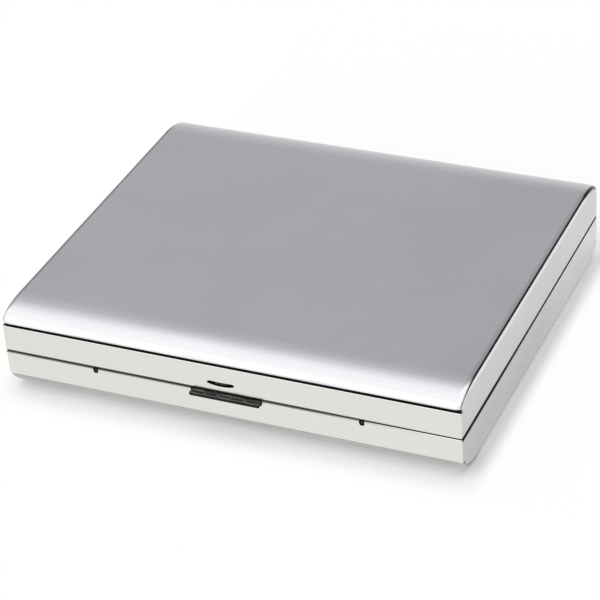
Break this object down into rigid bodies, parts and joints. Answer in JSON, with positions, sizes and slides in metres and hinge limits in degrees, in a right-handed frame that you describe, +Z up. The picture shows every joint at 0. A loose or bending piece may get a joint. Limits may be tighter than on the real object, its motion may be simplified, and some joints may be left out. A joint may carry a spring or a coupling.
{
  "type": "cigarette case",
  "caption": "Flat hinged metal case with two shallow trays, rolled satin covers in polished frames, a push-bar latch at the front and a sprung retaining arm in each half.",
  "frame": {"origin": "under the middle of the case's bounding box, on the surface that the closed case rests on", "axes": "+X along the hinge, towards the right as the latch is faced; -Y towards the latch side; +Z up, out of the lid"},
  "size_m": [0.096, 0.0846, 0.0185],
  "materials": {
    "polished_frame": "polished plate",
    "satin_cover": "fine satin",
    "bright_liner": "bright pressed sheet",
    "hinge_steel": "plated",
    "pin_steel": "drawn wire",
    "dark_push_bar": "dark oxidised",
    "hook_steel": "plain sheet",
    "spring_steel": "tempered",
    "rivet_steel": "dull",
    "polished_arm": "polished sheet",
    "bracket_steel": "plain sheet"
  },
  "bodies": {
    "base": {"base_frame": "polished_frame", "base_cover": "satin_cover", "base_liner": "bright_liner", "base_hinge_leaf": "hinge_steel", "hinge_pin": "pin_steel", "latch_spring": "spring_steel", "latch_rivet_left": "rivet_steel", "latch_rivet_right": "rivet_steel", "base_arm_bracket": "bracket_steel", "base_arm_pin": "pin_steel", "base_stop_pin": "pin_steel", "base_arm_spring": "spring_steel"},
    "lid": {"lid_frame": "polished_frame", "lid_cover": "satin_cover", "lid_liner": "bright_liner", "lid_hinge_leaf": "hinge_steel", "lid_arm_bracket": "bracket_steel", "lid_arm_pin": "pin_steel", "lid_stop_pin": "pin_steel", "lid_arm_spring": "spring_steel"},
    "latch": {"latch_bar": "dark_push_bar", "latch_hook": "hook_steel"},
    "base_arm": {"base_arm": "polished_arm"},
    "lid_arm": {"lid_arm": "polished_arm"}
  },
  "joints": [
    {"name": "lid_hinge", "type": "hinge", "parent": "base", "child": "lid", "pos_m": [0, 0.0412, 0.00925], "axis": [-1, 0, 0], "range_deg": [0, 180]},
    {"name": "latch_press", "type": "slide", "parent": "base", "child": "latch", "axis": [0, 1, 0], "range_m": [0, 0.001], "stiffness_N_per_m": 800, "springref_m": -0.0005, "deforming": ["latch_spring"]},
    {"name": "base_arm_hinge", "type": "hinge", "parent": "base", "child": "base_arm", "pos_m": [-0.014, 0.0348, 0.00265], "axis": [-1, 0, 0], "range_deg": [0, 13], "stiffness_Nm_per_rad": 0.02, "springref_deg": -34.38, "deforming": ["base_arm_spring"]},
    {"name": "lid_arm_hinge", "type": "hinge", "parent": "lid", "child": "lid_arm", "pos_m": [0.014, 0.0348, 0.01585], "axis": [1, 0, 0], "range_deg": [0, 13], "stiffness_Nm_per_rad": 0.02, "springref_deg": -34.38, "deforming": ["lid_arm_spring"]}
  ]
}
